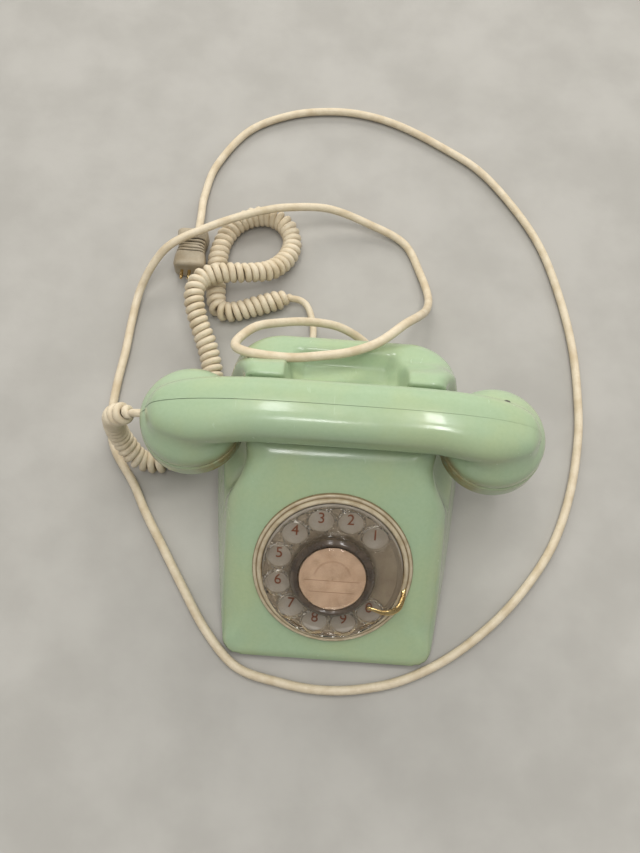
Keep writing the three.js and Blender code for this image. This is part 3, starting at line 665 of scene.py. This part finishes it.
def build_handset():
    """A front and a back half that meet in a seam along the handle."""
    low = (-POD_X - POD_RADIUS, POD_Y - POD_RADIUS, cap_high[2])
    high = (POD_X + POD_RADIUS, POD_Y + POD_RADIUS, handset_high[2] + 1)
    whole = skin("handset_whole", handset_field, low, high, 1.05)
    chip = (POD_X + 4.1) * MM, (POD_Y + 14.5) * MM, (cap_high[2] + 20.2) * MM + DESK
    grime = (cap_high[2] * MM + DESK, (cap_high[2] + 9) * MM + DESK)
    green = moulded_green("green_handset", grime, chip)
    for name, side in (("handset_front_half", -1), ("handset_back_half", 1)):
        piece = halved(whole, name, side)
        piece.data.materials.append(green)
        sharp_edges(piece, 60)
        settle(piece, "handset", "handset_shell" if side < 0 else None)
    bpy.data.objects.remove(whole)


def halved(whole, name, side):
    """The part of the handset on one side of its seam; the seam narrows towards the ear end."""
    cut = bmesh.new()
    cut.from_mesh(whole.data)
    edge = Vector((0, HANDLE_Y * MM + side * 0.1 * MM, 0))
    normal = Vector((0.0006 * side, 1, 0)) * side
    geometry = cut.verts[:] + cut.edges[:] + cut.faces[:]
    bmesh.ops.bisect_plane(cut, geom=geometry, plane_co=edge, plane_no=normal, clear_inner=True)
    mesh = bpy.data.meshes.new(name)
    cut.to_mesh(mesh)
    cut.free()
    mesh.shade_smooth()
    piece = bpy.data.objects.new(name, mesh)
    bpy.context.scene.collection.objects.link(piece)
    return piece


def cap_field(x, y, z):
    """A screwed-on cap with a rounded rim and seven sound holes."""
    out = np.hypot(x, y)
    low, high = cap_low[2], cap_high[2]
    wall = out - (POD_RADIUS - 0.3 * smooth(high - 1.6, high, z))
    solid = rounded_max(wall, low - z - 0.0016 * out**2 + 1.3, 5)
    inside = np.maximum(out - (POD_RADIUS - 3.2), low + 3 - z)
    shell = soft_max(solid, -inside, 0.5)
    shell = rounded_max(shell, z - high, 0.5)
    groove = 0.35 - np.hypot(out - POD_RADIUS, z - (high - 2.4))
    shell = np.maximum(shell, groove)
    holes = 1.3 - out
    for k in range(6):
        angle = k * math.pi / 3
        holes = np.maximum(holes, 1.3 - np.hypot(x - 8 * math.cos(angle), y - 8 * math.sin(angle)))
    return np.where(z < low + 5, rounded_max(shell, holes, 0.35), shell)


def build_caps():
    """Both caps come from one mesh; grime gathers on their lower rims."""
    grime = ((cap_high[2] - 4) * MM + DESK, (cap_high[2] + 9) * MM + DESK)
    green = moulded_green("green_caps", grime)
    low = (-POD_RADIUS, -POD_RADIUS, cap_low[2] - 1)
    high = (POD_RADIUS, POD_RADIUS, cap_high[2])
    for node in ("mouth_cap", "ear_cap"):
        centre = middle(node)

        def field(x, y, z, centre=centre):
            return cap_field(x - centre[0], y - centre[1], z)

        shift = np.array([centre[0], centre[1], 0])
        piece = skin(node + "_moulded", field, low + shift, high + shift, 0.85)
        sharp_edges(piece, 55)
        piece.data.materials.append(green)
        settle(piece, "handset", node)


# ---------------------------------------------------------------- dial


def dial_heights(node):
    """Lowest and highest distance of a CAD node from the face, in millimetres."""
    inverse = dial_matrix.inverted()
    heights = [(inverse @ v.co).z for v in frame["nodes"][node].data.vertices]
    return min(heights), max(heights)


def clock(degrees):
    """The direction at a clockwise angle from the top of the dial."""
    return math.sin(math.radians(degrees)), math.cos(math.radians(degrees))


def build_bezel():
    low, high = dial_heights("dial_bezel")
    outline = [
        (44.9, low - 0.4),
        (44.9, low + 1.1),
        (43.9, low + 2.2),
        (42.9, low + 1.9),
        (42.5, low + 1.5),
        (42.0, high - 0.7),
        (41.2, high),
        (40.2, high - 0.2),
        (39.4, high - 1.4),
        (39.2, low - 0.4),
    ]
    piece = lathe("dial_bezel_ring", eased(outline, 0.5), matrix=dial_matrix)
    look = Look("ivory_bezel")
    soil = look.noise(6, 5)
    reach = dial_reach(look)
    colour = look.mix(look.span(soil, 0.3, 0.75), IVORY, IVORY_DEEP)
    # darker brown lines in the step between the two rings and along both edges
    for radius in (42.55, 44.75, 39.5):
        gap = look.math("ABSOLUTE", look.math("SUBTRACT", reach, radius * MM))
        line = look.span(gap, 0.1 * MM, 0.5 * MM, 0.85, 0)
        colour = look.mix(line, colour, paint(110, 88, 54))
    bumps = look.bump(look.noise(0.8, 3), 0.015)
    look.surface(Base_Color=colour, Roughness=look.span(soil, 0.3, 0.7, 0.24, 0.4), Normal=bumps)
    piece.data.materials.append(look.material)
    settle(piece, "base", "dial_bezel")


def build_number_plate():
    low, high = dial_heights("number_plate")
    outline = [(3.6, low), (39.2, low), (39.2, high + 0.9), (37.9, high + 0.9), (36.6, high), (3.6, high)]
    piece = lathe("number_plate_disc", eased(outline, 0.4), matrix=dial_matrix)
    look = Look("taupe_number_plate")
    cloud = look.noise(13, 4)
    grain = look.noise(0.9, 4)
    colour = look.mix(look.span(cloud, 0.3, 0.75), paint(152, 144, 132), paint(137, 127, 113))
    colour = look.mix(look.span(grain, 0.35, 0.8, 0, 0.25), colour, paint(122, 110, 95))
    rough = look.span(cloud, 0.3, 0.7, 0.3, 0.48)
    look.surface(Base_Color=colour, Roughness=rough, Normal=look.bump(grain, 0.01))
    piece.data.materials.append(look.material)
    settle(piece, "base", "number_plate")


def build_digits():
    """Ten plain digits, upright, one under each finger hole."""
    ink = dull_plastic("digit_ink", paint(118, 66, 38), paint(90, 50, 30), 0.35, 0.6, 0.01)
    high = dial_heights("number_plate")[1]
    for k in range(10):
        text = bpy.data.curves.new(f"digit_{(k + 1) % 10}", "FONT")
        text.body = str((k + 1) % 10)
        text.size = 8.8
        text.align_x = "CENTER"
        text.align_y = "CENTER"
        text.extrude = 0.12
        text.resolution_u = 6
        piece = bpy.data.objects.new(text.name, text)
        bpy.context.scene.collection.objects.link(piece)
        across, up = clock(DIGIT_ONE - 30 * k)
        spot = Vector((HOLE_CIRCLE * across, HOLE_CIRCLE * up, high + 0.1))
        piece.matrix_world = dial_matrix @ Matrix.Translation(spot)
        piece.data.materials.append(ink)
        settle(piece, "base")


def wheel_field(x, y, z):
    """A clear wheel, rolled at its rim, with ten finger cups and a raised hub."""
    low, high = dial_heights("finger_wheel")
    flat_high = low + WHEEL_THICKNESS
    out = np.hypot(x, y)
    lift = (high - flat_high) * (1 - smooth(22.4, 26.6, out))
    disc = rounded_max(z - flat_high - lift, low + lift * 0.9 - z, 0.5)
    disc = rounded_max(disc, out - WHEEL_RADIUS, 1.1)
    rim = np.hypot(np.maximum(np.abs(out - WHEEL_RADIUS + 1.2) - 0.5, 0), z - flat_high + 0.2) - 0.8
    disc = soft_min(disc, rim, 0.6)
    cups = np.full_like(out, 99.0)
    holes = np.full_like(out, 99.0)
    for k in range(10):
        across, up = clock(DIGIT_ONE - 30 * k)
        away = np.hypot(x - HOLE_CIRCLE * across, y - HOLE_CIRCLE * up)
        cups = np.minimum(cups, np.abs(away - HOLE_RADIUS - 0.45) - 0.45)
        holes = np.minimum(holes, away)
    collar = rounded_max(cups, np.maximum(z - flat_high, low - 1.9 - z), 0.3)
    collar = np.maximum(collar, out - WHEEL_RADIUS + 0.2)
    solid = soft_min(disc, collar, 0.8)
    solid = rounded_max(solid, HOLE_RADIUS + 0.04 * (z - low) - holes, 0.7)
    return rounded_max(solid, 4 - out, 0.3)


def build_wheel():
    """The clear finger wheel, which turns over the fixed digits."""
    low, high = dial_heights("finger_wheel")
    clear = clear_plastic("clear_wheel", paint(226, 221, 212))
    reach = WHEEL_RADIUS + 0.4
    first = (-reach, -reach, low - 2.2)
    last = (reach, reach, high + 0.6)
    piece = skin("finger_wheel_moulded", wheel_field, first, last, 0.55, dial_matrix)
    piece.data.materials.append(clear)
    settle(piece, "dial_wheel", "finger_wheel")


def build_hub():
    """A dark ring holding a printed card under a clear lens."""
    low, high = dial_heights("hub_ring")
    outline = [
        (23.4, low),
        (23.4, low + 1.2),
        (22.9, low + 2.4),
        (21.6, high - 0.5),
        (20.8, high),
        (19.8, high - 0.3),
        (18.8, high - 1.2),
        (18.6, low),
    ]
    ring = lathe("hub_ring_turned", eased(outline, 0.45), matrix=dial_matrix)
    look = Look("dark_hub_ring")
    turning_mark = 0.55 * MM
    lines = look.math("SINE", look.math("MULTIPLY", dial_reach(look), 2 * math.pi / turning_mark))
    soil = look.noise(5, 4)
    colour = look.mix(look.span(soil, 0.3, 0.7), paint(84, 71, 58), paint(58, 48, 38))
    look.surface(
        Base_Color=colour,
        Roughness=look.span(soil, 0.3, 0.7, 0.16, 0.32),
        Normal=look.bump(lines, 0.012),
        Coat_Weight=0.5,
        Coat_Roughness=0.05,
    )
    ring.data.materials.append(look.material)
    low, high = dial_heights("label_card")
    outline = [(0.01, low), (18.3, low), (18.3, high), (0.01, high)]
    card = lathe("label_card_printed", eased(outline, 0.1, 3), matrix=dial_matrix)
    card.data.materials.append(printed_card("printed_card"))
    low, high = dial_heights("label_lens")
    outline = [
        (0.01, low),
        (18.4, low),
        (18.4, high - 1.0),
        (17.2, high - 0.3),
        (9, high + 0.1),
        (0.01, high + 0.2),
    ]
    lens = lathe("label_lens_clear", eased(outline, 0.5), matrix=dial_matrix)
    lens.data.materials.append(clear_plastic("clear_lens", paint(250, 244, 236)))
    settle(ring, "dial_wheel", "hub_ring")
    settle(card, "dial_wheel", "label_card")
    settle(lens, "dial_wheel", "label_lens")


def build_finger_stop():
    """A brass strip that rises past the wheel's rim and hooks in over its holes."""
    over = dial_heights("finger_wheel")[0] + WHEEL_THICKNESS + 1.6
    bends = [
        (40.4, -7.6, 2.6),
        (40.5, -9.4, 3.4),
        (40.0, -12.6, 6.4),
        (38.0, -16.6, over - 0.2),
        (33.8, -19.6, over + 0.4),
        (29.0, -20.0, over + 0.3),
        (24.4, -18.8, over),
        (20.2, -17.8, over - 0.1),
    ]
    path = spline(bends, 60)
    share = np.linspace(0, 1, len(path))
    half_width = 1.35 + 0.45 * np.exp(-(((share - 0.45) / 0.18) ** 2)) - 0.4 * smooth(0.55, 1.0, share)
    half_thick = 0.8
    along = np.gradient(path, axis=0)
    along /= np.linalg.norm(along, axis=1)[:, None]
    out = np.tile([0.0, 0.0, 1.0], (len(path), 1))
    wide = np.cross(out, along)
    wide /= np.linalg.norm(wide, axis=1)[:, None]
    thick = np.cross(along, wide)
    section = eased([(-1, -1), (1, -1), (1, 1), (-1, 1)], 0.9, 6)
    rows = []
    for k in range(len(path)):
        tip = math.sqrt(max(1 - max((share[k] - 0.96) / 0.04, 0) ** 2, 0.02))
        across = section[:, :1] * half_width[k] * tip * wide[k]
        rows.append(path[k] + across + section[:, 1:] * half_thick * thick[k])
    piece = make_mesh("finger_stop_strip", *sleeve(rows), dial_matrix)
    sharp_edges(piece, 40)
    piece.data.materials.append(LOOKS["brass"])
    settle(piece, "base", "finger_stop")


# ---------------------------------------------------------------- cords and plug

COIL_PATH = [
    (-119, 27, 72), (-129, 29, 62), (-134, 32, 44), (-133, 30, 24), (-123, 22, 10), (-108, 22, 7),
    (-95, 34, 7), (-86, 56, 7), (-84, 80, 8), (-89, 100, 12), (-97, 118, 18), (-101, 134, 22),
    (-97, 146, 22.5), (-84, 151, 22.5), (-68, 154, 20), (-53, 161, 14), (-43, 175, 9), (-41, 190, 7),
    (-48, 203, 7), (-62, 208, 7), (-76, 203, 7), (-86, 191, 7), (-90, 176, 7), (-90, 160, 7),
    (-89, 145, 7), (-86, 133, 7), (-76, 131, 7), (-57, 138, 7), (-40, 144, 7),
]
LEAD = [(-109.5, POD_Y, HANDSET_CORD_HEIGHT), (-114, POD_Y, HANDSET_CORD_HEIGHT)]
TAIL = [
    (-28, 142, 4), (-22, 126, 3.2), (-22, 108, 7), (-CORD_SPREAD, 96, 12.6), (-CORD_SPREAD, 78, CORD_HEIGHT),
]
LINE_PATH = [
    (-106, 190, 8), (-106, 204, 6), (-106, 225, 3), (-100, 252, 3), (-80, 284, 3), (-51, 301, 3),
    (-22, 307, 3), (4, 306, 3), (31, 298, 3), (61, 282, 3), (90, 262, 3), (115, 231, 3), (133, 199, 3),
    (145, 160, 3), (152, 122, 3), (154, 86, 3), (153, 58, 3), (147, 23, 3), (136, -10, 3), (120, -37, 3),
    (99, -62, 3), (73, -84, 3), (46, -99, 3), (21, -106, 3), (-2, -108, 3), (-25, -105.5, 3),
    (-51, -98.5, 3), (-71, -79, 3), (-88, -54, 3), (-102, -32, 3), (-116, -10, 3), (-126, 8, 3),
    (-141, 30, 3), (-146, 50, 3), (-146, 74, 3), (-144, 98, 3), (-143, 122, 3), (-140, 144, 6),
    (-131, 160, 16), (-119, 171, 23.5), (-97, 184, 25), (-78, 194, 24.5), (-62, 201, 23.5),
    (-45, 207, 21), (-17, 213, 14), (12, 208, 6), (37, 196, 3), (49, 172, 3), (54, 152, 8),
    (51, 132, 26), (43, 110, 56), (33, 94, 74), (18, 78, 80), (2, 69, 83), (-15, 64.5, 84.5), (-30, 61.5, 86),
    (-45, 60.5, 88.6), (-56, 62, 88.4), (-63, 67, 84.5), (-62, 77, 76), (-54, 90, 66), (-42, 101, 52),
    (-25, 109, 41), (-6, 113, 30), (10, 110, 20), (20, 102, 14.5),
    (CORD_SPREAD, 94, CORD_HEIGHT), (CORD_SPREAD, 78, CORD_HEIGHT),
]


def build_coiled_cord():
    """A wire wound round a centre line, straight at both ends; its first drop stretches with the handset."""
    centre = spline(LEAD + COIL_PATH + TAIL, 6400)
    step = np.linalg.norm(np.diff(centre, axis=0), axis=1)
    reach = np.concatenate([[0], np.cumsum(step)])
    first = reach[np.argmin(np.linalg.norm(centre - np.array(COIL_PATH[0]), axis=1))]
    last = reach[np.argmin(np.linalg.norm(centre - np.array(COIL_PATH[-1]), axis=1))]
    _, side, over = carried(centre)
    swell = smooth(first - 3, first + 7, reach) * (1 - smooth(last - 7, last + 4, reach))
    wobble = 1 + 0.035 * np.sin(reach / 9) + 0.02 * np.sin(reach / 3.7)
    radius = (COIL_OUTER - COIL_WIRE) * swell * wobble
    angle = 2 * math.pi * reach / COIL_PITCH
    wire = centre + (np.cos(angle) * radius)[:, None] * side + (np.sin(angle) * radius)[:, None] * over
    length = np.concatenate([[0], np.cumsum(np.linalg.norm(np.diff(wire, axis=0), axis=1))])
    ring_gap = 1.75
    even = np.linspace(0, length[-1], int(length[-1] / ring_gap))
    wire = np.stack([np.interp(even, length, wire[:, k]) for k in range(3)], axis=1)
    # the drop ends where its wire first comes down to the desk, well past the handset's own end
    landed = np.argmax((wire[:, 2] < COIL_OUTER + 2.6) & (even > 150))
    cord = LOOKS["cord_cream"]
    hanging = make_mesh("handset_cord_hanging", *tube(wire[: landed + 1], COIL_WIRE, 10))
    hanging.data.materials.append(cord)
    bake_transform(hanging)
    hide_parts("handset_cord")
    lying = make_mesh("handset_cord_lying", *tube(wire[landed:], COIL_WIRE, 10))
    lying.data.materials.append(cord)
    settle(lying, "base", "handset_cord")


def build_line_cord():
    """A round cord from the plug, round the telephone and over its deck, into the rear wall."""
    path = spline(LINE_PATH, 900)
    piece = make_mesh("line_cord_round", *tube(path, LINE_CORD_RADIUS))
    piece.data.materials.append(LOOKS["cord_cream"])
    settle(piece, "base", "line_cord")


def plug_field(x, y, z):
    """A rounded wall plug with a waisted grip and a raised collar for its cord."""
    low, high = corners("line_plug")
    back = high[1]
    front = low[1] + 7
    centre_x = (low[0] + high[0]) / 2
    centre_z = (low[2] + high[2]) / 2
    along = (y - front) / (back - front)
    waist = np.exp(-(((along - 0.55) / 0.2) ** 2))
    half_x = 10.5 - 1.6 * waist
    half_z = (high[2] - low[2]) / 2 - 1.2 * waist
    body = rounded_max(np.abs(x - centre_x) - half_x, np.abs(z - centre_z) - half_z, 4.5)
    body = rounded_max(body, np.maximum(y - back + 1, front - y), 2.2)
    ribs = 0.35 - np.abs((y * 0.42) % 1 - 0.5) * 2.2
    grip = np.where((along > 0.35) & (along < 0.75), np.maximum(body, ribs - 0.3 - body * 0.4), body)
    cord_x, _, cord_z = LINE_PATH[0]
    collar = np.hypot(x - cord_x, z - cord_z) - (4.6 - 1.2 * smooth(back - 4, back, y))
    collar = rounded_max(collar, np.maximum(y - back, back - 6 - y), 0.5)
    return soft_min(grip * 0.8, collar, 0.8)


def build_plug():
    """The moulded plug and its three pins."""
    low, high = corners("line_plug")
    piece = skin("line_plug_moulded", plug_field, low, high, 0.8)
    piece.data.materials.append(LOOKS["plug_grey"])
    settle(piece, "base", "line_plug")
    centre_x = (low[0] + high[0]) / 2
    for k, across in enumerate((-5, 0, 5)):
        path = [(centre_x + across, low[1] + y, (low[2] + high[2]) / 2) for y in (8, 6, 4, 2, 0.7, 0.1)]
        radius = np.array([1.1, 1.1, 1.1, 1.1, 0.95, 0.4])
        pin = make_mesh(f"plug_pin_{k + 1}", *tube(path, radius, 20))
        sharp_edges(pin, 40)
        pin.data.materials.append(LOOKS["brass"])
        settle(pin, "base")


# ---------------------------------------------------------------- carried-over CAD nodes


def winding_look():
    """Enamelled copper wire, wound in fine turns."""
    look = Look("enamelled_copper")
    turns = look.node("ShaderNodeTexWave", {"Vector": look.place, "Scale": 900.0, "Distortion": 1.2})
    soil = look.noise(4, 4)
    colour = look.mix(look.span(soil, 0.3, 0.7), paint(168, 92, 52), paint(120, 60, 34))
    relief = look.bump(turns.outputs["Fac"], 0.08)
    return look.surface(Base_Color=colour, Metallic=0.8, Roughness=0.38, Normal=relief)


def card_look():
    """Brown phenolic board with a faint weave."""
    look = Look("phenolic_board")
    weave = look.node("ShaderNodeTexBrick", {"Vector": look.place, "Scale": 260.0})
    soil = look.noise(6, 4)
    colour = look.mix(look.span(soil, 0.3, 0.7), paint(156, 118, 70), paint(120, 86, 48))
    return look.surface(Base_Color=colour, Roughness=0.5, Normal=look.bump(weave.outputs["Fac"], 0.03))


LOOKS = {
    "brass": metal("dulled_brass", paint(238, 208, 146), paint(186, 148, 90), 0.18),
    "steel": metal("zinc_steel", paint(186, 186, 184), paint(128, 124, 116), 0.34),
    "black_plastic": dull_plastic("black_moulding", paint(40, 39, 38), paint(26, 25, 24), 0.45),
    "rubber": dull_plastic("foot_rubber", paint(58, 55, 52), paint(40, 38, 36), 0.75, 0.8, 0.05),
    "cream_plastic": dull_plastic("cream_moulding", IVORY, IVORY_DEEP, 0.35),
    "copper_winding": winding_look(),
    "circuit_card": card_look(),
    "cord_cream": dull_plastic("cream_cord", paint(210, 196, 170), paint(190, 172, 141), 0.42, 2.0, 0.03),
    "plug_grey": dull_plastic("aged_plug", paint(172, 160, 138), paint(150, 135, 110), 0.45),
}


def dress_frame():
    """Every CAD node still shown takes the procedural look of its slot and small bevels."""
    for piece in frame["nodes"].values():
        if piece.hide_render:
            continue
        slot = piece.data.materials[0].name
        piece.data.materials.clear()
        piece.data.materials.append(LOOKS[slot])
        edge = piece.modifiers.new("small_edges", "BEVEL")
        edge.width = 0.25 * MM
        edge.segments = 2
        edge.limit_method = "ANGLE"
        edge.angle_limit = math.radians(40)
        piece.data.shade_smooth()
        sharp_edges(piece, 35)


# ---------------------------------------------------------------- stage


def build_floor():
    """A plain pale floor under the feet."""
    bpy.ops.mesh.primitive_plane_add(size=6, location=(0, 0, DESK - 0.0002))
    floor = bpy.context.object
    floor.name = "floor"
    look = Look("pale_floor")
    colour = look.mix(look.span(look.noise(60, 4), 0.3, 0.7), paint(166, 162, 154), paint(156, 152, 144))
    look.surface(Base_Color=colour, Roughness=0.6, Normal=look.bump(look.noise(3, 3), 0.05))
    floor.data.materials.append(look.material)


def add_light(name, spot, target, width, depth, power, mirrored=True):
    """A rectangular lamp; glossy surfaces show its shape only if it is mirrored."""
    light = bpy.data.lights.new(name, "AREA")
    light.shape = "RECTANGLE"
    light.size = width
    light.size_y = depth
    light.energy = power
    lamp = bpy.data.objects.new(name, light)
    bpy.context.scene.collection.objects.link(lamp)
    lamp.location = spot
    lamp.rotation_mode = "QUATERNION"
    lamp.rotation_quaternion = (Vector(target) - Vector(spot)).to_track_quat("-Z", "Y")
    lamp.visible_glossy = mirrored


def build_lights():
    """Ceiling tubes for the crisp highlights and broad soft light for the rest."""
    add_light("tube_near", (0.49, -0.2, 2.0), (0.49, -0.2, 0), 0.14, 0.34, 3)
    add_light("tube_far", (0.49, 0.5, 2.0), (0.49, 0.5, 0), 0.14, 0.6, 4)
    add_light("tube_left", (-0.26, 0.55, 2.0), (-0.26, 0.55, 0), 0.18, 0.5, 3)
    add_light("low_back", (0, 2.0, 1.1), (0, 0, 0), 2.4, 1.0, 44, mirrored=False)
    add_light("high_front", (-0.3, -1.0, 1.9), (0, 0, 0), 1.0, 1.0, 9, mirrored=False)
    add_light("overhead", (-0.2, 0.2, 2.2), (0, 0, 0), 1.4, 1.4, 16, mirrored=False)
    add_light("ceiling_lamp", (-0.1, -0.45, 2.1), (0, 0, 0), 0.3, 0.3, 3)
    add_light("low_left", (-2.0, 0.2, 1.1), (0, 0, 0), 1.6, 1.2, 8, mirrored=False)
    add_light("low_right", (2.0, 0.4, 1.1), (0, 0, 0), 1.6, 1.2, 10, mirrored=False)
    world = bpy.data.worlds.new("soft_room")
    world.use_nodes = True
    background = world.node_tree.nodes["Background"]
    background.inputs[0].default_value = (0.95, 0.98, 1.0, 1)
    background.inputs[1].default_value = 0.24
    bpy.context.scene.world = world


def build_camera():
    """Steeply down on the dial from in front, as a hand-held camera sees it."""
    down = math.radians(68.2)
    yaw = math.radians(-0.5)
    roll = math.radians(3.5)
    forward = Vector((math.sin(yaw) * math.cos(down), math.cos(yaw) * math.cos(down), -math.sin(down)))
    right = Vector((math.cos(yaw), -math.sin(yaw), 0))
    up = right.cross(forward)
    tilted_right = math.cos(roll) * right + math.sin(roll) * up
    tilted_up = math.cos(roll) * up - math.sin(roll) * right
    turn = Matrix((tilted_right, tilted_up, -forward)).transposed()
    data = bpy.data.cameras.new("camera")
    data.lens = 38.0
    data.sensor_width = 36.0
    camera = bpy.data.objects.new("camera", data)
    bpy.context.scene.collection.objects.link(camera)
    eye = Vector((-10.8, -159.8, 538.8)) * MM + Vector((0, 0, DESK))
    camera.matrix_world = Matrix.Translation(eye) @ turn.to_4x4()
    bpy.context.scene.camera = camera


build_housing()
build_handset()
build_caps()
build_bezel()
build_number_plate()
build_digits()
build_wheel()
build_hub()
build_finger_stop()
build_coiled_cord()
build_line_cord()
build_plug()
dress_frame()
build_floor()
build_lights()
build_camera()
bpy.context.scene.view_settings.view_transform = "Standard"
